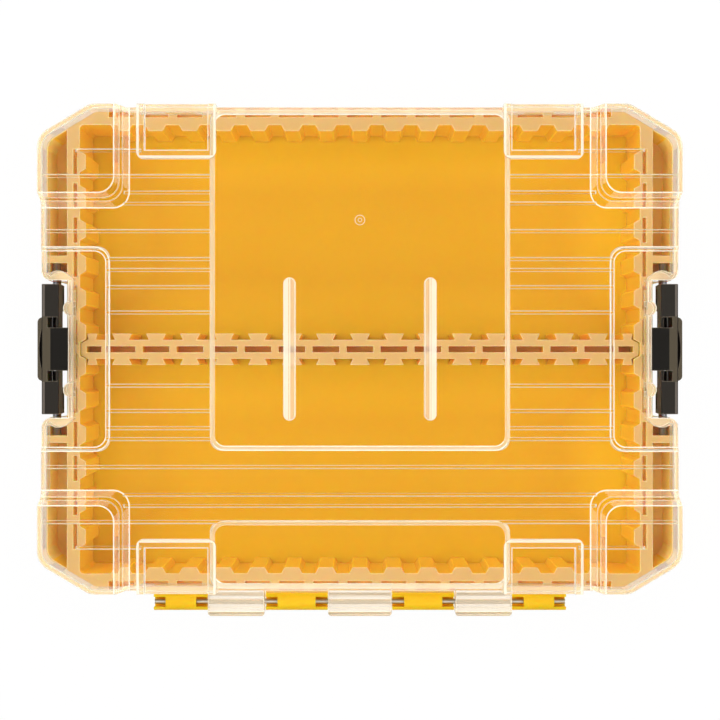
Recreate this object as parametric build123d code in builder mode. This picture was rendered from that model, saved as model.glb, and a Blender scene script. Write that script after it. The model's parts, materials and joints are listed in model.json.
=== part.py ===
"""Saw blade storage case: a base tray with a hinged clear lid, two side latches and a slotted divider.

Millimetres. +Z is up, +Y is the front and the hinge is at the back. The origin is the middle of the
base's underside, which is also the middle of the case in plan, without its hinge.
"""

import os
from math import atan2, degrees

from build123d import *

# Outline shared by the base and the lid, half sizes from the middle of the case
guard_x = 159.0            # over the corner guards
guard_y = 120.9
slant_x = 133.0            # the corner's slanted face meets the front and the back here
slant_y = 105.4            # and the sides here
guard_end_x = 120.1        # the guards end here along the front and the back
guard_end_y = 77.3         # and here along the sides
guard_run = 4.4            # length of the taper from a guard down to the plain edge
bay_half = 34.0            # half length of the latch bay in each side
bay_corner_r = 4.5
slant_side_r = 10.0
slant_front_r = 8.0

# Base tray
rim_z = 48.0
floor_t = 2.4
base_step = 0.4            # how far the guards stand proud of the base's plain edge
collar_height = 9.0        # the thicker band under the base's rim
collar_proud = 0.6
strip_outer_x = 147.0      # outer face of the bin's end wall, which is the back of the latch bay
bin_x = 140.5              # inner faces of the bin
bin_y = 112.5
bin_corner_r = 2.0
wing_wall = 2.4
wing_end_wall = 4.6        # from the latch bay to the small pocket that shows a latch pin
pin_window = 4.8
pin_window_drop = 7.0      # below the pin's axis
wing_cross_wall = 3.6      # from there to the wing's big pocket
wing_floor = 20.0
foot_bevel = 1.2

# Teeth and slots that take the divider, and the pockets moulded behind them
pitch = 17.1
tooth_depth = 3.0
tooth_root = 10.6
tooth_tip = 7.2
front_teeth = 7            # each side of the middle one
side_teeth = 6             # each side of the middle slot
pocket_length = 12.6
front_pocket_width = 2.6
front_pocket_y = 117.7
side_pocket_width = 2.0
side_pocket_x = 142.8
pocket_floor = 42.0

# Connector tabs on the front of the base
tab_x = 90.3
tab_width = 15.0
tab_proud = 1.6
tab_root = 1.2
tab_height = 11.0

# Lid
lid_gap = 0.2              # between the rims
lid_depth = 17.8           # from its rim to the tops of the guards
lid_wall = 2.0
lid_skin = 2.0
lid_step = 1.6             # how far the guards stand proud of the lid's plain edge
field_drop = 2.0           # from the tops of the guards down to the lid's main field
lid_bay_x = 144.2
pad_inner_x = 70.9         # the four raised pads along the front and the back
pad_outer_x = 110.1
pad_inner_y = 94.0
pad_band = 4.0
pad_r = 3.5
guard_foot_x = 113.8       # where the slope of a corner guard meets the field
guard_foot_y = 69.7
guard_ledge_x = 117.0      # a narrow ledge half way up that slope
guard_ledge = 1.7
guard_top_x = 121.2
guard_r = 8.0
sunk_drop = 1.6            # the sunk panels, and the sunk fields beside the latches
sunk_slope = 1.8
panel_x = 72.0
panel_rear_y = -48.1
panel_front_y = 116.0
rear_panel_y = -86.8
panel_r = 5.4
bay_field_x = 125.5
bay_field_margin = 14.6    # from the latch bay to the end of the field beside it
bay_field_r = 6.0
bar_x = 34.8
bar_width = 5.6
bar_length = 70.2
bar_height = 3.0
rib_t = 1.5
rib_depth = 2.4
bay_ribs = [18.1, 30.6, 39.1, 44.5]
guard_ribs = [72.0, 77.5]
full_ribs = [58.3, 85.5]
pad_rib_y = 98.1
pin_boss_x = 149.4         # the round bosses inside the lid, over the latch pins
pin_boss_r = 7.4
pin_boss_inset = 2.8       # from the latch bay's end to the middle of the boss
lug_y = 20.2
lug_r = 3.7
lug_proud = 2.6

# Hinge at the back
hinge_y = -126.5
hinge_z = rim_z
rod_r = 1.25
rod_half = 102.9
running_clearance = 0.05
hinge_root_y = -119.0
block_r = 4.4
block_web = 15.0
block_near = [16.2, 76.0]  # near and far ends of the two blocks each side of the middle
block_far = [47.2, 103.2]
notch_length = 6.0
notch_width = 5.2
notch_drop = 2.6
knuckle_spans = [(-75.7, -47.6), (-15.8, 15.8), (47.6, 75.7)]
knuckle_r = 4.8
knuckle_back = 6.6
knuckle_rise = 8.5
knuckle_corner = 2.4
knuckle_end_r = 1.5

# Latches and their pins
pin_x = 153.5
pin_z = 39.5
pin_r = 2.15
pin_in_latch = 21.4        # how far a pin reaches into the latch, through its boss
pin_in_wall = 2.6          # and into the wing's cross wall
latch_side_gap = 1.7       # from the latch's end to the wing
latch_outer_x = 157.8
latch_inner_x = 149.2
latch_top_z = 60.0
latch_skin = 2.0
latch_skirt_z = 35.5       # lower edge of the outer wall
latch_lip_z = 48.0         # lower edge of the inner wall
latch_end_t = 1.8
boss_r = 3.6
boss_length = 13.0
thumb_half = 15.8
thumb_outer_x = 160.0
thumb_bottom_z = 40.0
thumb_r = 2.5
thumb_drop = 1.0           # below the latch's top
scoop_half = 10.0
scoop_depth = 1.3
hook_half = 10.7
hook_gap = 0.4             # from the hook's edge to the lid's bay wall
hook_t = 3.0
window_x = 152.3
window_width = 5.2
latch_edge_r = 0.8

# Divider
divider_top = 46.0
divider_body = 9.6
divider_depth = 3.1
divider_tip = 10.0
divider_root = 7.0
divider_teeth = 7          # each side of the middle one
divider_end_tip = 5.2      # the narrow tooth at each end
divider_end_root = 3.8
divider_slot = 3.0
divider_slot_length = 13.4
divider_fit = 0.25
divider_slot_drop = 12.0   # depth of its slots

pin_window_start = bay_half + wing_end_wall
pin_window_end = pin_window_start + pin_window
wing_pocket_y = pin_window_end + wing_cross_wall
bay_field_y = bay_half + bay_field_margin
latch_half = bay_half - latch_side_gap
pin_inner_y = latch_half - pin_in_latch
pin_outer_y = pin_window_end + pin_in_wall
lid_rim_z = rim_z + lid_gap
top_z = lid_rim_z + lid_depth
field_z = top_z - field_drop
ceiling_z = field_z - lid_skin


def four_ways(quarter):
    """The corners of a whole outline from those of its quarter at +X +Y, given side first."""
    left = [(-x, y) for x, y in reversed(quarter)]
    rear = [(-x, -y) for x, y in quarter]
    right = [(x, -y) for x, y in reversed(quarter)]
    return quarter + left + rear + right


def corners_at(x, y):
    """The current sketch's corners at this distance each side of the middle."""
    return vertices().filter_by(lambda v: abs(abs(v.X) - x) < 0.01 and abs(abs(v.Y) - y) < 0.01)


def case_outline(step, bay_x, pads=False):
    """The case in plan: slanted corner guards, plain edges between them and a latch bay in each side."""
    side_x = guard_x - step
    edge_y = guard_y - step
    quarter = [
        (bay_x, bay_half),
        (side_x, bay_half),
        (side_x, guard_end_y - guard_run),
        (guard_x, guard_end_y),
        (guard_x, slant_y),
        (slant_x, guard_y),
        (guard_end_x, guard_y),
        (guard_end_x - guard_run, edge_y),
    ]
    if pads:
        quarter += [
            (pad_outer_x, edge_y),
            (pad_outer_x, guard_y),
            (pad_inner_x, guard_y),
            (pad_inner_x, edge_y),
        ]
    Polygon(*four_ways(quarter), align=None)
    fillet(corners_at(side_x, bay_half), bay_corner_r)
    fillet(corners_at(guard_x, slant_y), slant_side_r)
    fillet(corners_at(slant_x, guard_y), slant_front_r)


def tooth(root, tip, depth, mode=Mode.ADD):
    """One tooth standing on the line y = 0 and pointing along -Y."""
    Polygon((-root / 2, 0), (root / 2, 0), (tip / 2, -depth), (-tip / 2, -depth), align=None, mode=mode)


def both_ways(places):
    """These distances on both sides of the middle."""
    return sorted({-p for p in places} | set(places))


def sunk_fields(grow):
    """The lid's two sunk panels and the sunk fields beside the latches, this much larger all round."""
    front_length = panel_front_y - panel_rear_y
    with Locations((0, (panel_front_y + panel_rear_y) / 2)):
        Rectangle(2 * (panel_x + grow), front_length + 2 * grow)
    rear_length = rear_panel_y + panel_front_y
    with Locations((0, (rear_panel_y - panel_front_y) / 2)):
        Rectangle(2 * (panel_x + grow), rear_length + 2 * grow)
    fillet(vertices(), panel_r)


def bay_fields(grow):
    """The sunk fields beside the latches, which run out through the sides."""
    inner_x = bay_field_x - grow
    for side in (-1, 1):
        with Locations((side * (inner_x + 2 * guard_x) / 2, 0)):
            Rectangle(2 * guard_x - inner_x, 2 * (bay_field_y + grow))
    fillet(corners_at(inner_x, bay_field_y + grow), bay_field_r)


def save(piece, name):
    piece.label = name
    export_step(piece, f"parts/{name}.step")


front_places = both_ways([i * pitch for i in range(front_teeth + 1)])
side_places = both_ways([(i + 0.5) * pitch for i in range(side_teeth)])
front_wall = [Location((x, bin_y, 0), (0, 0, 0)) for x in front_places]
back_wall = [Location((x, -bin_y, 0), (0, 0, 180)) for x in front_places]
right_wall = [Location((bin_x, y, 0), (0, 0, -90)) for y in side_places]
left_wall = [Location((-bin_x, y, 0), (0, 0, 90)) for y in side_places]

divider_places = both_ways([i * pitch for i in range(divider_teeth + 1)])
corners = [(x, y) for x in (-1, 1) for y in (-1, 1)]
slot_mouth = pitch - tooth_tip
slot_back = pitch - tooth_root
end_slot_x = (divider_teeth + 1) * pitch - divider_slot_length / 2
spare_x = guard_x + lid_wall
spare_y = guard_y + lid_wall
pad_mid_x = (pad_inner_x + pad_outer_x) / 2
pad_width = pad_outer_x - pad_inner_x
knuckle_root_y = -guard_y + lid_step + lid_wall / 2
sunk_angle = degrees(atan2(sunk_slope, sunk_drop))

# Each of the lid's ribs: its place along Y, and how near to and far from the middle it runs
one_side = [(y, panel_x, bay_field_x) for y in bay_ribs]
one_side += [(y, panel_x, guard_ledge_x) for y in guard_ribs]
one_side += [(y, panel_x, guard_x) for y in full_ribs]
one_side += [(pad_rib_y, pad_outer_x - pad_band / 2, bin_x)]
lid_ribs = list(one_side)
for y, near, far in one_side:
    crosses = -panel_rear_y < y < -rear_panel_y
    lid_ribs.append((-y, -rib_t if crosses else near, far))

os.makedirs("parts", exist_ok=True)

# Base tray: one moulding with double walls, hollow wings and the fixed half of the hinge
with BuildPart() as base_tray:
    with BuildSketch():
        case_outline(base_step, strip_outer_x)
        offset(amount=-collar_proud, mode=Mode.REPLACE)
    extrude(amount=rim_z - collar_height)
    chamfer(faces().sort_by(Axis.Z)[0].edges(), foot_bevel)
    with BuildSketch(Plane.XY.offset(rim_z)):
        case_outline(base_step, strip_outer_x)
    extrude(amount=-collar_height)

    # The bin, toothed all round
    with BuildSketch(Plane.XY.offset(floor_t)):
        Rectangle(2 * bin_x, 2 * bin_y)
        fillet(vertices(), bin_corner_r)
        with Locations(front_wall + back_wall + right_wall + left_wall):
            tooth(tooth_root, tooth_tip, tooth_depth, mode=Mode.SUBTRACT)
    extrude(amount=rim_z, mode=Mode.SUBTRACT)

    # Pockets behind the teeth, a web apart
    with BuildSketch(Plane.XY.offset(pocket_floor)):
        with Locations([(x, side * front_pocket_y) for x in front_places for side in (-1, 1)]):
            Rectangle(pocket_length, front_pocket_width)
        with Locations([(side * side_pocket_x, y) for y in side_places for side in (-1, 1)]):
            Rectangle(side_pocket_width, pocket_length)
    extrude(amount=rim_z, mode=Mode.SUBTRACT)

    # Wing pockets at the four corners, and the small ones that show the latch pins
    for level, start_y, end_y in (
        (wing_floor, wing_pocket_y, guard_y),
        (pin_z - pin_window_drop, pin_window_start, pin_window_end),
    ):
        with BuildSketch(Plane.XY.offset(level)):
            case_outline(base_step, strip_outer_x)
            offset(amount=-wing_wall, mode=Mode.REPLACE)
            Rectangle(2 * strip_outer_x, 2 * guard_y, mode=Mode.SUBTRACT)
            Rectangle(2 * guard_x, 2 * start_y, mode=Mode.SUBTRACT)
            with Locations((0, end_y + guard_y / 2), (0, -end_y - guard_y / 2)):
                Rectangle(2 * guard_x, guard_y, mode=Mode.SUBTRACT)
        extrude(amount=rim_z, mode=Mode.SUBTRACT)

    # Bores for the latch pins
    with BuildSketch(Plane.XZ):
        with Locations((-pin_x, pin_z), (pin_x, pin_z)):
            Circle(pin_r + running_clearance)
    extrude(amount=pin_outer_y, both=True, mode=Mode.SUBTRACT)

    # Connector tabs
    with BuildSketch(Plane.XY.offset(rim_z)):
        tab_y = guard_y - base_step + (tab_proud - tab_root) / 2
        with Locations((-tab_x, tab_y), (tab_x, tab_y)):
            Rectangle(tab_width, tab_proud + tab_root)
    extrude(amount=-tab_height)

    # Hinge blocks, notched at both ends and bored for the rod
    for near, far in zip(block_near, block_far):
        for start in (near, -far):
            with BuildSketch(Plane.YZ.offset(start)):
                with Locations((hinge_y, hinge_z)):
                    Circle(block_r)
                Polygon(
                    (hinge_y - block_r, hinge_z),
                    (hinge_y - block_r, hinge_z - block_r),
                    (hinge_root_y, hinge_z - block_web),
                    (hinge_root_y, hinge_z),
                    align=None,
                )
            extrude(amount=far - near)
            ends = [start + notch_length / 2, start + far - near - notch_length / 2]
            on_floor = (Align.CENTER, Align.CENTER, Align.MIN)
            with Locations([(x, hinge_y, hinge_z - notch_drop) for x in ends]):
                Box(notch_length, notch_width, 2 * block_r, align=on_floor, mode=Mode.SUBTRACT)
    with BuildSketch(Plane.YZ):
        with Locations((hinge_y, hinge_z)):
            Circle(rod_r + running_clearance)
    extrude(amount=guard_x, both=True, mode=Mode.SUBTRACT)
save(base_tray.part, "base_tray")

# Hinge rod, held by the base's blocks
with BuildPart() as hinge_rod:
    with BuildSketch(Plane.YZ):
        with Locations((hinge_y, hinge_z)):
            Circle(rod_r)
    extrude(amount=rod_half, both=True)
save(hinge_rod.part, "hinge_rod")

# Corner guards of the lid: two slopes with a ledge between them, cut to the case's outline
with BuildPart() as corner_guards:
    slopes = [
        (field_z, guard_foot_x, guard_ledge_x),
        (field_z + field_drop / 2, guard_ledge_x + guard_ledge, guard_top_x),
    ]
    for level, foot_x, head_x in slopes:
        for x_side, y_side in corners:
            for height, x in ((level, foot_x), (level + field_drop / 2, head_x)):
                y = guard_foot_y + x - guard_foot_x
                with BuildSketch(Plane.XY.offset(height)):
                    with Locations((x_side * (x + spare_x) / 2, y_side * (y + spare_y) / 2)):
                        Rectangle(spare_x - x, spare_y - y)
                    fillet(vertices().sort_by(lambda v: abs(v.X) + abs(v.Y))[0], guard_r)
            loft()
    with BuildSketch(Plane.XY.offset(field_z)):
        case_outline(lid_step, lid_bay_x)
    extrude(amount=field_drop, mode=Mode.INTERSECT)

# The lid's hollow, with the ribs that stay standing under its skin
with BuildPart() as lid_hollow:
    with BuildSketch(Plane.XY.offset(lid_rim_z - lid_wall)):
        case_outline(lid_step, lid_bay_x)
        offset(amount=-lid_wall, mode=Mode.REPLACE)
    extrude(amount=ceiling_z - lid_rim_z + lid_wall)
    for fields in (sunk_fields, bay_fields):
        with BuildSketch(Plane.XY.offset(ceiling_z)):
            fields(sunk_slope)
        extrude(amount=-sunk_drop, mode=Mode.SUBTRACT)
    with BuildSketch(Plane.XY.offset(ceiling_z)):
        for y, near, far in lid_ribs:
            with Locations((-(near + far) / 2, y), ((near + far) / 2, y)):
                Rectangle(far - near, rib_t)
    extrude(amount=-rib_depth, mode=Mode.SUBTRACT)
    with BuildSketch(Plane.XY.offset(lid_rim_z)):
        with Locations([(x * pin_boss_x, y * (bay_half - pin_boss_inset)) for x, y in corners]):
            Circle(pin_boss_r)
    extrude(amount=lid_depth, mode=Mode.SUBTRACT)

# Lid: a clear shell with raised pads and guards, sunk panels, ribs underneath and hinge knuckles
with BuildPart() as lid:
    with BuildSketch(Plane.XY.offset(lid_rim_z)):
        case_outline(lid_step, lid_bay_x, pads=True)
        with Locations([(x * (lid_bay_x + lug_proud - lug_r), y * lug_y) for x, y in corners]):
            Circle(lug_r)
    extrude(amount=field_z - lid_rim_z)
    add(corner_guards.part)

    # Raised pads, open towards the front or the back
    with BuildSketch(Plane.XY.offset(field_z)):
        with Locations([(x * pad_mid_x, y * (guard_y + pad_inner_y) / 2) for x, y in corners]):
            Rectangle(pad_width, guard_y - pad_inner_y)
        fillet(corners_at(pad_inner_x, pad_inner_y) + corners_at(pad_outer_x, pad_inner_y), pad_r)
        with Locations([(x * pad_mid_x, y * (guard_y + pad_inner_y + pad_band) / 2) for x, y in corners]):
            Rectangle(pad_width - 2 * pad_band, guard_y - pad_inner_y - pad_band, mode=Mode.SUBTRACT)
    extrude(amount=field_drop)

    # Sunk panels and fields
    for fields in (sunk_fields, bay_fields):
        with BuildSketch(Plane.XY.offset(field_z - sunk_drop)):
            fields(0)
        extrude(amount=sunk_drop, taper=-sunk_angle, mode=Mode.SUBTRACT)

    # The two upright bars on the front panel
    with BuildSketch(Plane.XY.offset(field_z - sunk_drop)):
        with Locations((-bar_x, 0), (bar_x, 0)):
            SlotOverall(bar_length, bar_width, rotation=90)
    extrude(amount=bar_height)

    # Knuckles, running down the back and round the rod
    for start, end in knuckle_spans:
        with BuildSketch(Plane.YZ.offset(start)):
            with Locations((hinge_y, hinge_z)):
                Circle(knuckle_r)
            Polygon(
                (knuckle_root_y, lid_rim_z + lid_wall / 2),
                (knuckle_root_y, hinge_z + knuckle_rise),
                (hinge_y - knuckle_back + knuckle_corner, hinge_z + knuckle_rise),
                (hinge_y - knuckle_back, hinge_z + knuckle_rise - knuckle_corner),
                (hinge_y - knuckle_back, hinge_z - knuckle_corner),
                (hinge_y - knuckle_back / 2, hinge_z - knuckle_r * 0.8),
                (hinge_y, lid_rim_z + lid_wall / 2),
                align=None,
            )
        extrude(amount=end - start)
    fillet(edges().filter_by(Axis.Z).group_by(Axis.Y)[0], knuckle_end_r)
    with BuildSketch(Plane.YZ):
        with Locations((hinge_y, hinge_z)):
            Circle(rod_r + running_clearance)
    extrude(amount=guard_x, both=True, mode=Mode.SUBTRACT)

    add(lid_hollow.part, mode=Mode.SUBTRACT)
save(lid.part, "lid")

# Latches: a channel that turns on a pin at each end, with a thumb piece and a hook in the middle
with BuildPart() as latch_right:
    with BuildSketch(Plane.XZ):
        with BuildLine():
            Polyline(
                (latch_outer_x - latch_skin, latch_skirt_z),
                (latch_outer_x, latch_skirt_z),
                (latch_outer_x, latch_top_z),
                (latch_inner_x, latch_top_z),
                (latch_inner_x, latch_lip_z),
                (latch_inner_x + latch_skin, latch_lip_z),
                (latch_inner_x + latch_skin, latch_top_z - latch_skin),
                (latch_outer_x - latch_skin, latch_top_z - latch_skin),
                close=True,
            )
        make_face()
        fillet(vertices().group_by(Axis.Y)[-1], latch_edge_r)
    extrude(amount=latch_half, both=True)

    # Closed ends and the bosses that turn on the pins
    for side in (-1, 1):
        with BuildSketch(Plane.XZ.offset(-side * latch_half)):
            Polygon(
                (latch_outer_x - latch_edge_r, latch_skirt_z),
                (latch_outer_x - latch_edge_r, latch_top_z - latch_edge_r),
                (latch_inner_x + latch_edge_r, latch_top_z - latch_edge_r),
                (latch_inner_x + latch_edge_r, pin_z),
                align=None,
            )
        extrude(amount=side * latch_end_t)
        with BuildSketch(Plane.XZ.offset(-side * latch_half)):
            with Locations((pin_x, pin_z)):
                Circle(boss_r)
        extrude(amount=side * boss_length)

    # Thumb piece with its scoop
    thumb_top_z = latch_top_z - thumb_drop
    with BuildSketch(Plane.XY.offset(thumb_top_z)):
        with Locations(((thumb_outer_x + latch_outer_x - latch_skin) / 2, 0)):
            Rectangle(thumb_outer_x - latch_outer_x + latch_skin, 2 * thumb_half)
        fillet(vertices().group_by(Axis.X)[-1], thumb_r)
    extrude(amount=thumb_bottom_z - thumb_top_z)
    with BuildSketch(Plane.XY.offset(thumb_top_z)):
        with BuildLine():
            scoop_tip = (latch_outer_x + scoop_depth, 0)
            ThreePointArc((latch_outer_x, -scoop_half), scoop_tip, (latch_outer_x, scoop_half))
            Line((latch_outer_x, scoop_half), (latch_outer_x, -scoop_half))
        make_face()
    extrude(amount=(thumb_bottom_z - thumb_top_z) / 2, mode=Mode.SUBTRACT)

    # Hook, stopping just short of the lid, and the windows beside it
    hook_tip_x = lid_bay_x + hook_gap
    with BuildSketch(Plane.XY.offset(latch_top_z)):
        with Locations(((hook_tip_x + latch_outer_x - latch_skin) / 2, 0)):
            Rectangle(latch_outer_x - latch_skin - hook_tip_x, 2 * hook_half)
    extrude(amount=-hook_t)
    with BuildSketch(Plane.XY.offset(latch_top_z)):
        window_y = (hook_half + thumb_half) / 2
        with Locations((window_x, -window_y), (window_x, window_y)):
            Rectangle(window_width, thumb_half - hook_half)
    extrude(amount=-hook_t, mode=Mode.SUBTRACT)
    with BuildSketch(Plane.XZ):
        with Locations((pin_x, pin_z)):
            Circle(pin_r + running_clearance)
    extrude(amount=latch_half, both=True, mode=Mode.SUBTRACT)
save(latch_right.part, "latch_right")

with BuildPart() as latch_left:
    mirror(latch_right.part, about=Plane.YZ)
save(latch_left.part, "latch_left")

# Latch pins, each pushed through a wing into the end of a latch
for x_side, x_name in ((-1, "left"), (1, "right")):
    for y_side, y_name in ((-1, "rear"), (1, "front")):
        with BuildPart() as latch_pin:
            with BuildSketch(Plane.XZ.offset(-y_side * pin_inner_y)):
                with Locations((x_side * pin_x, pin_z)):
                    Circle(pin_r)
            extrude(amount=-y_side * (pin_outer_y - running_clearance - pin_inner_y))
        save(latch_pin.part, f"latch_pin_{x_name}_{y_name}")

# Divider: a hollow rail across the middle, dovetailed on both sides, its ends in the side walls' slots
with BuildPart() as divider:
    with BuildSketch(Plane.XY.offset(floor_t)):
        Rectangle(2 * (bin_x - tooth_depth - divider_fit), divider_body)
        for side in (-1, 1):
            shoulder_x = side * (bin_x - tooth_depth - divider_fit)
            tongue_x = side * (bin_x - divider_fit)
            Polygon(
                (shoulder_x, slot_mouth / 2 - divider_fit),
                (tongue_x, slot_back / 2 - divider_fit),
                (tongue_x, -slot_back / 2 + divider_fit),
                (shoulder_x, -slot_mouth / 2 + divider_fit),
                align=None,
            )
        ahead = [Location((x, divider_body / 2, 0), (0, 0, 180)) for x in divider_places]
        behind = [Location((x, -divider_body / 2, 0), (0, 0, 0)) for x in divider_places]
        with Locations(ahead + behind):
            tooth(divider_root, divider_tip, divider_depth)
        end_x = bin_x - tooth_depth - divider_fit - divider_end_tip / 2
        ends_ahead = [Location((x, divider_body / 2, 0), (0, 0, 180)) for x in (-end_x, end_x)]
        ends_behind = [Location((x, -divider_body / 2, 0), (0, 0, 0)) for x in (-end_x, end_x)]
        with Locations(ends_ahead + ends_behind):
            tooth(divider_end_root, divider_end_tip, divider_depth)
    extrude(amount=divider_top - floor_t)
    with BuildSketch(Plane.XY.offset(divider_top - divider_slot_drop)):
        with Locations([(x, 0) for x in divider_places]):
            Rectangle(divider_slot_length, divider_slot)
        end_slot = bin_x - tooth_depth - end_slot_x
        with Locations((-end_slot_x - end_slot / 2, 0), (end_slot_x + end_slot / 2, 0)):
            Rectangle(end_slot, divider_slot)
    extrude(amount=divider_top, mode=Mode.SUBTRACT)
save(divider.part, "divider")
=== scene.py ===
import json
from math import radians

import bmesh
import bpy
import numpy as np
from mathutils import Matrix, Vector


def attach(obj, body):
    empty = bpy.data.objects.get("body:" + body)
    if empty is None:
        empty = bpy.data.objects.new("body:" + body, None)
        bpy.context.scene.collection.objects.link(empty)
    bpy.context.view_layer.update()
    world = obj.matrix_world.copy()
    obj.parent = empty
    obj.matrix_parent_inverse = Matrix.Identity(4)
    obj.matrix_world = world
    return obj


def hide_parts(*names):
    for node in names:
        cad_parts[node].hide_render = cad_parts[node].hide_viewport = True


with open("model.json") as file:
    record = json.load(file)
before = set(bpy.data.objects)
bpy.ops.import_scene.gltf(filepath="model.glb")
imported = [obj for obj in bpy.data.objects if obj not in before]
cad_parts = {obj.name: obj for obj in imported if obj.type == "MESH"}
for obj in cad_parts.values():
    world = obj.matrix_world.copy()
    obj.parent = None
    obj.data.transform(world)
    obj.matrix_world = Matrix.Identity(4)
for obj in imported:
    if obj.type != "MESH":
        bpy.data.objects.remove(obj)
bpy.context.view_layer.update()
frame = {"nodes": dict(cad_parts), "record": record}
mm = 0.001
scene = bpy.context.scene


# A socket of a node tree. The operators on it add the Math nodes that work them out.
class Value:
    def __init__(self, tree, socket):
        self.tree = tree
        self.socket = socket

    def maths(self, operation, *items):
        made = self.tree.nodes.new("ShaderNodeMath")
        made.operation = operation
        for slot, item in zip(made.inputs, items):
            join(self.tree, item, slot)
        return Value(self.tree, made.outputs[0])

    def __add__(self, other):
        return self.maths("ADD", self, other)

    def __sub__(self, other):
        return self.maths("SUBTRACT", self, other)

    def __rsub__(self, other):
        return self.maths("SUBTRACT", other, self)

    def __mul__(self, other):
        return self.maths("MULTIPLY", self, other)

    def __pow__(self, other):
        return self.maths("POWER", self, other)

    def __gt__(self, other):
        return self.maths("GREATER_THAN", self, other)

    def __lt__(self, other):
        return self.maths("LESS_THAN", self, other)

    def __abs__(self):
        return self.maths("ABSOLUTE", self)

    def most(self, other):
        return self.maths("MAXIMUM", self, other)

    def least(self, other):
        return self.maths("MINIMUM", self, other)

    __radd__ = __add__
    __rmul__ = __mul__


def join(tree, item, slot):
    if isinstance(item, Value):
        tree.links.new(item.socket, slot)
    else:
        slot.default_value = item


# A material or world under construction: node() adds any node, its settings first and then its sockets
class Finish:
    def __init__(self, owner, output="OutputMaterial"):
        self.owner = owner
        owner.use_nodes = True
        self.tree = owner.node_tree
        self.tree.nodes.clear()
        self.output = self.tree.nodes.new("ShaderNode" + output)

    def node(self, kind, sockets=None, out=0, **settings):
        made = self.tree.nodes.new("ShaderNode" + kind)
        for name, setting in settings.items():
            setattr(made, name, setting)
        for name, item in (sockets or {}).items():
            join(self.tree, item, made.inputs[name])
        return Value(self.tree, made.outputs[out])

    def place(self):
        return self.node("TexCoord", out="Object")

    # How far a point lies from the middle plane, across (0) or along (1) the case
    def offset(self, axis):
        return abs(self.node("SeparateXYZ", {"Vector": self.place()}, out=axis))

    def noise(self, scale, detail=2.0, where=None):
        spot = where or self.place()
        return self.node("TexNoise", {"Vector": spot, "Scale": scale, "Detail": detail}, out="Fac")

    def blend(self, share, first, second):
        return self.node("Mix", {0: share, 6: first, 7: second}, out=2, data_type="RGBA")

    def bump(self, height, strength, distance):
        return self.node("Bump", {"Height": height, "Strength": strength, "Distance": distance})

    def ray(self, name):
        return self.node("LightPath", out=name)

    def show(self, surface):
        self.tree.links.new(surface.socket, self.output.inputs["Surface"])
        return self.owner


# A screen colour of 0 to 255 as the linear colour that a shader takes
def linear(red, green, blue):
    part = np.array([red, green, blue]) / 255
    straight = np.where(part < 0.04045, part / 12.92, ((part + 0.055) / 1.055) ** 2.4)
    return (*straight.tolist(), 1.0)


# Yellow moulded plastic: light enters a little way, under a fine spark-eroded grain and faint flow marks.
# Its floors carry painted light: lighter from the edges at floorEdges, in mm from the middle, over
# paintedLightReach.
yellowLook = {
    "colour": linear(240, 192, 28),
    "deep": linear(234, 185, 24),
    "floor": linear(234, 178, 10),
    "floorDeep": linear(228, 170, 8),
    # The next two: painted light, the lighter yellow of the floors near the walls and the divider, and how far
    # in mm it reaches
    "floorPaintedLight": linear(255, 199, 24),
    "paintedLightReach": 30.0,
    "floorEdges": {"sides": 137.0, "ends": 112.5, "divider": 7.0},
    # The next two: painted light, a lighter yellow on the walls' upright faces for the light that comes through
    # the thin plastic
    "wall": linear(255, 206, 52),
    "wallPaintedLightDeep": linear(250, 196, 44),
    # The next two: painted light, a much lighter yellow on the pockets' floors and on the walls of the wings
    # and the side pockets
    "pocket": linear(255, 220, 130),
    "pocketPaintedLightDeep": linear(253, 212, 114),
    # The next two: a painted sheen, the paler colour of the wall tops
    "rim": linear(222, 188, 126),
    "rimSheenDeep": linear(214, 178, 110),
    # A painted highlight: the near-white of the rounded edges along the wall tops
    "edge": linear(255, 236, 200),
    "roughness": 0.42,
    "roughnessGrain": 0.12,
    "shine": 0.12,
    "grainScale": 2600.0,
    "grainBump": (0.12, 0.0002),
    "flowScale": 14.0,
    "reach": 0.006,
    "reachByColour": (1.0, 0.45, 0.1),
    "translucence": 0.8,
}


def yellowPlastic(name, colour, deep, look=yellowLook):
    f = Finish(bpy.data.materials.new(name))
    flow = f.noise(look["flowScale"], 3.0)
    grain = f.noise(look["grainScale"])
    surface = f.node("BsdfPrincipled", {
        "Base Color": colour(f, flow, look) if callable(colour) else f.blend(flow, colour, deep),
        "Roughness": look["roughness"] + look["roughnessGrain"] * (grain - 0.5),
        "Specular IOR Level": look["shine"],
        "Subsurface Weight": look["translucence"],
        "Subsurface Radius": look["reachByColour"],
        "Subsurface Scale": look["reach"],
        "Normal": f.bump(grain, *look["grainBump"]),
    })
    return f.show(surface)


# The compartments' floors, painted lighter towards the walls and the divider: painted light for the light that
# their plastic passes on
def floorColour(f, flow, look):
    edges = look["floorEdges"]
    across, along = f.offset(0), f.offset(1)
    near = (edges["sides"] * mm - across).least(edges["ends"] * mm - along).least(along - edges["divider"] * mm)
    share = (1 - near * (1 / (look["paintedLightReach"] * mm))).most(0.0).least(1.0)
    return f.blend(share, f.blend(flow, look["floor"], look["floorDeep"]), look["floorPaintedLight"])


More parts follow.
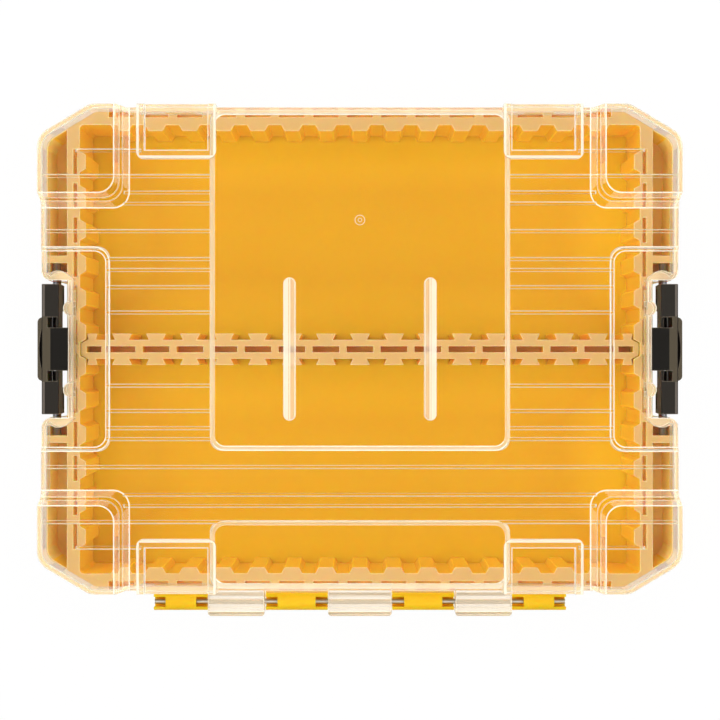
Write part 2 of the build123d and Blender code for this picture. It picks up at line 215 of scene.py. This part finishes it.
# Clear plastic: bends light, lets the lamps through and keeps a trace of haze; with a larger haze share, that
# haze is a painted highlight
clearLook = {
    "tint": (0.985, 0.98, 0.965, 1.0),
    "haze": (1.0, 0.93, 0.78, 1.0),
    "hazeShare": 0.006,
    "hazeRoughness": 0.35,
    "ripple": (0.75, 0.5),
    # From here to the slopes: painted highlights, heavier hazes in warm whites for the light that gathers in
    # the lid's edges, ribs, steps, rim, bars, knuckles, outline and slopes
    "edgeHighlightShare": 0.75,
    "ribHighlightShare": 0.8,
    "ribHighlight": (1.0, 0.88, 0.64, 1.0),
    "stepHighlightShare": 0.35,
    "rimHighlightShare": 0.4,
    "rimHighlight": (0.95, 0.84, 0.66, 1.0),
    "barHighlight": (0.93, 0.8, 0.63, 1.0),
    "knuckleHighlight": (0.84, 0.7, 0.5, 1.0),
    "knuckleHighlightShare": 0.32,
    "borderHighlight": (0.8, 0.66, 0.42, 1.0),
    "borderHighlightShare": 0.8,
    "slopeHighlight": (1.0, 0.85, 0.55, 1.0),
    "slopeHighlightShare": 0.4,
    "roughness": 0.02,
    "index": 1.49,
}
rippleScales = {"even": (30.0, 30.0, 30.0), "bar": (1400.0, 10.0, 1400.0), "knuckle": (12.0, 900.0, 900.0)}


def clearPlastic(name, hazeShare, hazeAndHighlightColour=clearLook["haze"], streaks="even", look=clearLook):
    f = Finish(bpy.data.materials.new(name))
    glass = f.node("BsdfPrincipled", {
        "Base Color": look["tint"],
        "Roughness": look["roughness"],
        "IOR": look["index"],
        "Transmission Weight": 1.0,
    })
    # The haze: a trace of real haze at a small share, a painted highlight at a larger one
    haze = f.node("BsdfPrincipled", {"Base Color": hazeAndHighlightColour, "Roughness": look["hazeRoughness"]})
    ripple = f.noise(1.0, 2.0, f.node("Mapping", {"Vector": f.place(), "Scale": rippleScales[streaks]}))
    share = hazeShare(f) if callable(hazeShare) else hazeShare
    least, swing = look["ripple"]
    hazed = f.node("MixShader", {0: share * (least + swing * ripple), 1: glass, 2: haze})
    clearWay = f.node("BsdfTransparent", {"Color": look["tint"]})
    return f.show(f.node("MixShader", {0: f.ray("Is Shadow Ray"), 1: hazed, 2: clearWay}))


# The haze of a pad, a painted highlight: a thick bright line round the outside of its U, whose clear part lies
# within these mm
padLook = {"inner": 72.2, "outer": 108.8, "foot": 95.3, "haze": 0.05, "lineHighlight": 0.6}


def padHighlightShare(f, look=padLook):
    across, along = f.offset(0), f.offset(1)
    sides = (across > look["outer"] * mm).most(across < look["inner"] * mm)
    return look["haze"] + look["lineHighlight"] * sides.most(along < look["foot"] * mm)


# The haze of a bar, a painted highlight: thicker on its outer half, standing for the lamps' reflection there,
# with one clearer line along it
barLook = {"halfStart": 34.3, "line": (34.9, 35.2), "haze": 0.34, "halfHighlight": 0.5, "lineClear": 0.55}


def barHighlightShare(f, look=barLook):
    across = f.offset(0)
    start, end = look["line"]
    line = (across > start * mm) - (across > end * mm)
    return look["haze"] + look["halfHighlight"] * (across > look["halfStart"] * mm) - look["lineClear"] * line


# Black moulded plastic of the latches. Along a latch its middle reaches middleHalf mm each way, and across
# the case the plate ends and the band of painted highlight starts at these mm.
blackLook = {
    "colour": linear(40, 36, 31),
    "worn": linear(54, 49, 43),
    # The next two: painted highlights on the latches' rounded edges, varied by the rubbed noise
    "edge": linear(86, 78, 67),
    "edgeHighlightWorn": linear(112, 102, 88),
    # A painted highlight: the band along the top's outer edge
    "band": linear(97, 89, 81),
    "grip": linear(77, 69, 55),
    "plate": linear(22, 19, 15),
    "highlightBandStart": 156.2,
    "plateEnd": 153.4,
    "middleHalf": 16.2,
    "roughness": 0.34,
    "roughnessGrain": 0.15,
    "shine": 0.08,
    "grainScale": 2200.0,
    "grainBump": (0.15, 0.0002),
    "rubScale": 90.0,
}


def blackPlastic(name, colour, worn, look=blackLook):
    f = Finish(bpy.data.materials.new(name))
    grain = f.noise(look["grainScale"])
    rub = f.noise(look["rubScale"], 4.0)
    surface = f.node("BsdfPrincipled", {
        "Base Color": colour(f, look) if callable(colour) else f.blend(rub * rub, colour, worn),
        "Roughness": look["roughness"] + look["roughnessGrain"] * (grain - 0.5),
        "Specular IOR Level": look["shine"],
        "Normal": f.bump(grain, *look["grainBump"]),
    })
    return f.show(surface)


# A latch's top: a band of painted highlight along its outer edge, the browner grip in its middle and the dark
# hook plate
def latchTop(f, look):
    across, along = f.offset(0), f.offset(1)
    arms = f.blend(across > look["highlightBandStart"] * mm, look["colour"], look["band"])
    middle = f.blend(across < look["plateEnd"] * mm, look["grip"], look["plate"])
    return f.blend(along < look["middleHalf"] * mm, arms, middle)


# Drawn steel of the rod, and the latch pins' steel given a darker, bluer grey, with fine lines along each
steelLook = {
    "rod": linear(176, 172, 166),
    "rodLines": (60.0, 6000.0, 6000.0),
    "pin": linear(140, 140, 146),
    "pinLines": (6000.0, 60.0, 6000.0),
    "roughness": 0.4,
    "roughnessLines": 0.2,
    "lineBump": (0.1, 0.0001),
}


def drawnSteel(name, piece, look=steelLook):
    f = Finish(bpy.data.materials.new(name))
    stretch = f.node("Mapping", {"Vector": f.place(), "Scale": look[piece + "Lines"]})
    lines = f.noise(1.0, 3.0, stretch)
    surface = f.node("BsdfPrincipled", {
        "Base Color": look[piece],
        "Metallic": 1.0,
        "Roughness": look["roughness"] + look["roughnessLines"] * (lines - 0.5),
        "Normal": f.bump(lines, *look["lineBump"]),
    })
    return f.show(surface)


# The finishes of each kind of moulding, by the names that its rule gives its faces
yellows = {
    "plain": yellowPlastic("yellowPlastic", yellowLook["colour"], yellowLook["deep"]),
    # Every finish but the plain one carries painted light: a painted highlight on the edges, a painted sheen on
    # the rim, lighter walls, pockets and floors
    "edge": yellowPlastic("yellowEdgeHighlight", yellowLook["edge"], yellowLook["rim"]),
    "rim": yellowPlastic("yellowRimSheen", yellowLook["rim"], yellowLook["rimSheenDeep"]),
    "wall": yellowPlastic("yellowWallPaintedLight", yellowLook["wall"], yellowLook["wallPaintedLightDeep"]),
    "pocket": yellowPlastic("yellowPocketPaintedLight", yellowLook["pocket"], yellowLook["pocketPaintedLightDeep"]),
    "floor": yellowPlastic("yellowFloorPaintedLight", floorColour, None),
}
clears = {
    "plain": clearPlastic("clearPlastic", clearLook["hazeShare"]),
    # Every finish but the plain one is a painted highlight
    "edge": clearPlastic("clearEdgeHighlight", clearLook["edgeHighlightShare"]),
    "rim": clearPlastic("clearRimHighlight", clearLook["rimHighlightShare"], clearLook["rimHighlight"]),
    "pad": clearPlastic("clearPadHighlight", padHighlightShare),
    "knuckle": clearPlastic("clearKnuckleHighlight", clearLook["knuckleHighlightShare"], clearLook["knuckleHighlight"], "knuckle"),
    "bar": clearPlastic("clearBarHighlight", barHighlightShare, clearLook["barHighlight"], "bar"),
    "rib": clearPlastic("clearRibHighlight", clearLook["ribHighlightShare"], clearLook["ribHighlight"]),
    "step": clearPlastic("clearStepHighlight", clearLook["stepHighlightShare"], clearLook["ribHighlight"]),
    "border": clearPlastic("clearBorderHighlight", clearLook["borderHighlightShare"], clearLook["borderHighlight"]),
    "slope": clearPlastic("clearSlopeHighlight", clearLook["slopeHighlightShare"], clearLook["slopeHighlight"]),
}
blacks = {
    "plain": blackPlastic("blackPlastic", blackLook["colour"], blackLook["worn"]),
    # The edge finish is a painted highlight, and the top carries a band of painted highlight
    "edge": blackPlastic("blackEdgeHighlight", blackLook["edge"], blackLook["edgeHighlightWorn"]),
    "top": blackPlastic("blackTopWithHighlight", latchTop, None),
}
rodSteel = drawnSteel("rodSteel", "rod")
pinSteel = drawnSteel("pinSteel", "pin")
print("materials made")


def dress(nodeName, material):
    piece = frame["nodes"][nodeName]
    piece.data.materials.clear()
    piece.data.materials.append(material)
    for polygon in piece.data.polygons:
        polygon.material_index = 0


def between(part, span):
    return (part > span[0]) & (part < span[1])


# How far out a point lies towards a corner of the case, square to the corner's slanted wall
def cornerReach(across, along):
    return 0.512 * across + 0.859 * along


# Where a face's middle lies, in mm: across and along from the middle of the case, and above the table
lidPlaces = {
    "rimBelow": 48.8,
    "barAcross": (31.8, 37.8), "barWithin": 35.5, "barAbove": 62.6,
    "padAcross": (70.0, 111.0), "padBeyond": 93.9, "padAbove": 65.9,
    "knucklesBehind": -121.2,
    "panelWithin": 75.0, "slopeLevels": (62.4, 64.1),
    "guardBeyond": (115.5, 71.5), "guardLevels": (63.4, 65.2),
    "panelSideBeyond": 71.0, "panelEnds": ((84.0, 89.5), (115.5, 140.0)), "panelLevels": (62.3, 64.2),
    "outline": (156.9, 118.9, 170.6), "outlineAbove": 50.0,
    "ribLevel": (59.5, 59.7),
}
trayPlaces = {
    "topsAbove": 45.9, "hingeBehind": -121.0,
    "floorLevels": (2.1, 2.7), "floorWithin": (141.0, 113.0),
    "pocketLevels": (15.0, 45.0), "sidePocketAcross": (141.6, 144.0),
    "wingAcross": (141.6, 157.0), "wingBeyond": 34.5, "wingWithin": 169.5,
}
latchTopAbove = 58.9


# Which finish each face takes. On the lid, a painted highlight stands for the light that gathers in its rim,
# the feet of its ribs, its bars, its pads, its knuckles and the slopes round its panels.
def lidFaces(middle, normal, places=lidPlaces):
    across, along, height = np.abs(middle[:, 0]), np.abs(middle[:, 1]), middle[:, 2]
    down, up = normal[:, 2] < -0.9, normal[:, 2] > 0.9
    rim = down & (height < places["rimBelow"])
    bars = between(across, places["barAcross"]) & (along < places["barWithin"]) & (height > places["barAbove"])
    pads = up & (height > places["padAbove"]) & (along > places["padBeyond"])
    pads &= between(across, places["padAcross"])
    knuckles = middle[:, 1] < places["knucklesBehind"]
    slope = between(normal[:, 2], (0.5, 0.9)) & between(height, places["slopeLevels"])
    slope &= across < places["panelWithin"]
    return np.select([knuckles, pads, bars, rim, slope], ["knuckle", "pad", "bar", "rim", "slope"], "plain")


# The tops and the sides of the tray's and the divider's walls, and the floors of the pockets in them, take
# painted light for the light that comes through the thin plastic: a painted sheen on the tops, lighter colours
# on the rest
def wallFaces(middle, normal, places=trayPlaces):
    across, along, height = np.abs(middle[:, 0]), np.abs(middle[:, 1]), middle[:, 2]
    up, upright = normal[:, 2] > 0.9, np.abs(normal[:, 2]) < 0.5
    floorAcross, floorAlong = places["floorWithin"]
    tops = up & (height > places["topsAbove"]) & (middle[:, 1] > places["hingeBehind"])
    floors = up & between(height, places["floorLevels"]) & (across < floorAcross) & (along < floorAlong)
    wings = upright & between(across, places["wingAcross"]) & (along > places["wingBeyond"])
    wings &= cornerReach(across, along) < places["wingWithin"]
    sidePockets = upright & between(across, places["sidePocketAcross"])
    pockets = up & between(height, places["pocketLevels"]) | wings | sidePockets
    return np.select([tops, floors, pockets, upright], ["rim", "floor", "pocket", "wall"], "plain")


# The tops of the latches
def topFaces(middle, normal):
    return np.where((normal[:, 2] > 0.9) & (middle[:, 2] > latchTopAbove), "top", "plain")


# The moulded pieces, each a copy of its solid with the small edge radius that a mould leaves. Each pass
# rounds its edges to a radius in mm, in the finish it names or that of the faces beside them; the finishes it
# names, edge and rib, are painted highlights. Faces with more corners than keep are divided first.
yellowParts = {
    "finishes": yellows, "rule": wallFaces,
    "passes": ((0.28, "edge"), (0.28, None)), "steps": 2, "keep": 1000, "slot": "yellow_plastic",
}
blackParts = {
    "finishes": blacks, "rule": topFaces,
    "passes": ((0.3, "edge"),), "steps": 3, "keep": 4, "slot": "black_plastic",
}
lidPart = {
    "finishes": clears, "rule": lidFaces,
    "passes": ((0.32, "edge"), (0.22, "rib")), "steps": 3, "keep": 1000, "slot": "clear_plastic",
}
moulded = {
    "lid": lidPart,
    "base_tray": yellowParts,
    "divider": yellowParts,
    "latch_left": blackParts,
    "latch_right": blackParts,
}
bodyOf = {node: body for body, nodes in frame["record"]["behaviour"]["bodies"].items() for node in nodes}

# Angles in degrees: how far the faces at an edge turn where it is a corner, a change of slope or a corner
# away from the wall tops, and how little they turn where they are one flat face or one smooth one.
# Sizes in mm: points nearer than weld are one, and the facets of a curve are narrower than facetWidth.
edgeLook = {
    "corner": 35.0, "slope": 9.0, "lowCorner": 50.0, "flat": 0.4, "sharp": 40.0,
    "facetTurn": (0.03, 0.5), "facetWidth": 2.6, "weld": 0.004,
}


# Which edges are rounded. The first choice takes the edge finish, a painted highlight: the rims of wall tops,
# every corner of a latch, and every corner and change of slope of the lid but for its ribs. The second choice
# is the rest.
def edgeChoices(shape, slot, look=edgeLook):
    turn = np.degrees([edge.calc_face_angle(0.0) for edge in shape.edges])
    pairs = [edge.link_faces for edge in shape.edges]
    corner = turn > look["corner"]
    if slot == "black_plastic":
        return [corner]
    if slot == "clear_plastic":
        level = np.array([all(abs(face.normal.z) > 0.8 for face in pair) for pair in pairs])
        ribSide = {face for face in shape.faces if abs(face.normal.y) > 0.9 and ribCorners(face) > 1}
        rib = np.array([any(face in ribSide for face in pair) for pair in pairs])
        return (corner | (turn > look["slope"]) & level) & ~rib, corner & rib
    rimIndex = list(yellows).index("rim")
    top = np.array([any(face.material_index == rimIndex for face in pair) for pair in pairs])
    middleY = np.array([(edge.verts[0].co.y + edge.verts[1].co.y) / 2 for edge in shape.edges])
    ahead = middleY > trayPlaces["hingeBehind"] * mm
    return corner & top & ahead, (turn > look["lowCorner"]) & ~top & ahead


# How many of a face's corners lie where the lid's ribs leave its underside
def ribCorners(face):
    low, high = lidPlaces["ribLevel"]
    return sum(low < vert.co.z / mm < high for vert in face.verts)


# The step halfway down the lid's guards and the edges of its sunk panels take a weaker painted highlight, and
# the outline, where the wall turns over into the top, a deeper-toned painted highlight
def lidEdge(face, places=lidPlaces):
    across, along, height = (abs(part) / mm for part in face.calc_center_median())
    guardAcross, guardAlong = places["guardBeyond"]
    guard = across > guardAcross and along > guardAlong and between(height, places["guardLevels"])
    if guard and face.normal.z > 0.8:
        return "step"
    side = across > places["panelSideBeyond"] and abs(face.normal.y) < 0.3
    side = side or any(between(along, end) for end in places["panelEnds"])
    if side and across < places["panelWithin"] and between(height, places["panelLevels"]):
        return "step"
    far = zip((across, along, cornerReach(across, along)), places["outline"])
    outline = any(part > limit for part, limit in far) and height > places["outlineAbove"]
    return "border" if outline and face.normal.z < 0.85 else "edge"


# Narrow faces that turn a little to the next are the facets of a curve, so they shade as one
def curvedFaces(shape, look=edgeLook):
    lengths = np.array([max(edge.calc_length() for edge in face.edges) for face in shape.faces])
    areas = np.array([face.calc_area() for face in shape.faces])
    least, most = look["facetTurn"]
    gentle = [any(least < edge.calc_face_angle(0.0) < most for edge in face.edges) for face in shape.faces]
    return np.array(gentle) & (areas < look["facetWidth"] * mm * lengths)


def softened(nodeName, look):
    names = list(look["finishes"])
    mesh = frame["nodes"][nodeName].data.copy()
    mesh.materials.clear()
    for material in look["finishes"].values():
        mesh.materials.append(material)
    shape = bmesh.new()
    shape.from_mesh(mesh)
    bmesh.ops.remove_doubles(shape, verts=shape.verts, dist=edgeLook["weld"] * mm)
    bmesh.ops.dissolve_limit(shape, angle_limit=radians(edgeLook["flat"]), verts=shape.verts, edges=shape.edges)
    middle = np.array([face.calc_center_median() for face in shape.faces]) / mm
    normal = np.array([face.normal for face in shape.faces])
    finishes = look["rule"](middle, normal).tolist()
    for face, finish, curved in zip(shape.faces, finishes, curvedFaces(shape).tolist()):
        face.smooth = curved
        face.material_index = names.index(finish)
    bmesh.ops.triangulate(shape, faces=[face for face in shape.faces if len(face.verts) > look["keep"]])
    for order, (radius, finish) in enumerate(look["passes"]):
        choice = edgeChoices(shape, look["slot"])[order].tolist()
        made = bmesh.ops.bevel(
            shape, geom=[edge for edge, picked in zip(shape.edges, choice) if picked], offset=radius * mm,
            segments=look["steps"], profile=0.5, affect="EDGES", clamp_overlap=False,
            material=names.index(finish) if finish else -1)
        for face in made["faces"]:
            face.smooth = True
            if nodeName == "lid" and names[face.material_index] == "edge":
                face.material_index = names.index(lidEdge(face))
    smooth = [face.smooth for face in shape.faces]
    shape.to_mesh(mesh)
    shape.free()
    if "custom_normal" in mesh.attributes:
        mesh.attributes.remove(mesh.attributes["custom_normal"])
    mesh.set_sharp_from_angle(angle=radians(edgeLook["sharp"]))
    mesh.polygons.foreach_set("use_smooth", smooth)
    piece = bpy.data.objects.new(nodeName + "_moulded", mesh)
    scene.collection.objects.link(piece)
    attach(piece, bodyOf[nodeName])
    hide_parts(nodeName)
    return piece


for nodeName, look in moulded.items():
    softened(nodeName, look)
dress("hinge_rod", rodSteel)
for nodeName in frame["nodes"]:
    if nodeName.startswith("latch_pin"):
        dress(nodeName, pinSteel)
print("pieces dressed")


# The round mark that the mould's gate leaves on the lid's panel: rings of a radius and a bead's half width,
# in mm, each a little sunk into the panel
gateLook = {
    "middle": (0.0, 63.8), "level": 62.4, "sunk": 0.02,
    "rings": ((2.4, 0.16), (0.9, 0.14)), "around": 48, "across": 6,
}


# Each ring: a half round of the bead's radius, by the angle roll, carried about the middle by the angle turn
def makeGateMark(look=gateLook):
    turn = np.linspace(0, 2 * np.pi, look["around"], endpoint=False)[:, None]
    roll = np.linspace(0, np.pi, look["across"])[None, :]
    row = np.arange(look["around"])[:, None] * look["across"]
    ahead = (np.arange(look["around"])[:, None] + 1) % look["around"] * look["across"]
    step = np.arange(look["across"])[None, :]
    onward = (step + 1) % look["across"]
    quads = np.stack([row + step, ahead + step, ahead + onward, row + onward], axis=-1).reshape(-1, 4)
    points, faces = [], []
    for ringRadius, bead in look["rings"]:
        reach = ringRadius + bead * np.cos(roll)
        x = look["middle"][0] + reach * np.cos(turn)
        y = look["middle"][1] + reach * np.sin(turn)
        z = look["level"] - look["sunk"] + bead * np.sin(roll) + 0 * turn
        faces.append(quads + len(faces) * look["around"] * look["across"])
        points.append(np.stack([x, y, z], axis=-1).reshape(-1, 3) * mm)
    mesh = bpy.data.meshes.new("gateMark")
    mesh.from_pydata(np.concatenate(points).tolist(), [], np.concatenate(faces).tolist())
    mesh.polygons.foreach_set("use_smooth", [True] * len(mesh.polygons))
    # The rings take the ribs' painted highlight
    mesh.materials.append(clears["rib"])
    mark = bpy.data.objects.new("gateMark", mesh)
    scene.collection.objects.link(mark)
    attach(mark, "lid")


makeGateMark()
print("gate mark made")


# Floor, lamps and world. Each lamp stands the way its pair says, lampAway from the middle and lampHeight up.
stageLook = {
    "floorSize": 6.0,
    "floorLevel": -0.3 * mm,
    "floorColour": (0.92, 0.92, 0.92, 1.0),
    "floorRoughness": 0.9,
    "floorGlow": 0.97,
    "lamps": {"left": (-1, 0.1), "right": (1, 0.1), "front": (0, 1), "back": (0, -1)},
    "lampPower": {"left": 7.0, "right": 7.0, "front": 6.8, "back": 6.1},
    "lampSize": 0.8,
    "lampAway": 0.72,
    "lampHeight": 1.05,
    "lampAim": (0.0, 0.0, 0.03),
    "horizon": 0.0425,
    "zenith": 0.0125,
    "narrow": 4.0,
}
white = (1.0, 1.0, 1.0, 1.0)


def makeFloor(look=stageLook):
    half, low = look["floorSize"] / 2, look["floorLevel"]
    mesh = bpy.data.meshes.new("floor")
    corners = [(-half, -half, low), (half, -half, low), (half, half, low), (-half, half, low)]
    mesh.from_pydata(corners, [], [(0, 1, 2, 3)])
    floor = bpy.data.objects.new("floor", mesh)
    scene.collection.objects.link(floor)
    f = Finish(bpy.data.materials.new("floorPaper"))
    paper = f.node("BsdfPrincipled", {"Base Color": look["floorColour"], "Roughness": look["floorRoughness"]})
    glow = f.node("Emission", {"Color": white, "Strength": 1.0})
    seen = f.ray("Is Camera Ray").most(f.ray("Is Glossy Ray")).most(f.ray("Is Transmission Ray"))
    floor.data.materials.append(f.show(f.node("MixShader", {0: seen * look["floorGlow"], 1: paper, 2: glow})))


# The clear plastic already lets the lamps' light through, so rays bent by it don't meet the lamps again
def makeLamp(name, look=stageLook):
    lamp = bpy.data.lights.new(name + "Lamp", "AREA")
    lamp.energy = look["lampPower"][name]
    lamp.size = look["lampSize"]
    lampObject = bpy.data.objects.new(name + "Lamp", lamp)
    wayX, wayY = look["lamps"][name]
    spot = Vector((wayX * look["lampAway"], wayY * look["lampAway"], look["lampHeight"]))
    lampObject.location = spot
    lampObject.rotation_euler = (Vector(look["lampAim"]) - spot).to_track_quat("-Z", "Y").to_euler()
    lampObject.visible_transmission = False
    scene.collection.objects.link(lampObject)


# A white room for the camera, and for what it sees straight through the clear plastic. All other rays meet
# a faint glow, brighter towards the horizon than straight up, so the room adds hardly any light.
def makeRoom(look=stageLook):
    f = Finish(bpy.data.worlds.new("studio"), "OutputWorld")
    up = abs(f.node("SeparateXYZ", {"Vector": f.node("TexCoord", out="Generated")}, out="Z"))
    glow = look["horizon"] - (look["horizon"] - look["zenith"]) * up ** look["narrow"]
    scattered = f.ray("Diffuse Depth") + f.ray("Glossy Depth") > 0.5
    seen = f.ray("Is Camera Ray").most(f.ray("Is Transmission Ray") * (1 - scattered))
    scene.world = f.show(f.node("Background", {"Color": white, "Strength": glow * (1 - seen) + seen}))


makeFloor()
for lampName in stageLook["lamps"]:
    makeLamp(lampName)
makeRoom()
scene.view_settings.view_transform = "Standard"

# Straight down on the lid, from where the view's 720 pixels take in frameWidth on the guards' tops
lensLook = {
    "focal": 90.0, "sensor": 36.0, "frameWidth": 354.4 * mm,
    "aim": (0.05 * mm, -5.4 * mm), "lidTop": 66.0 * mm,
}
camera = bpy.data.cameras.new("camera")
camera.lens = lensLook["focal"]
camera.sensor_width = lensLook["sensor"]
cameraObject = bpy.data.objects.new("camera", camera)
reach = lensLook["frameWidth"] * lensLook["focal"] / lensLook["sensor"]
cameraObject.location = (*lensLook["aim"], lensLook["lidTop"] + reach)
scene.collection.objects.link(cameraObject)
scene.camera = cameraObject
print("stage made")
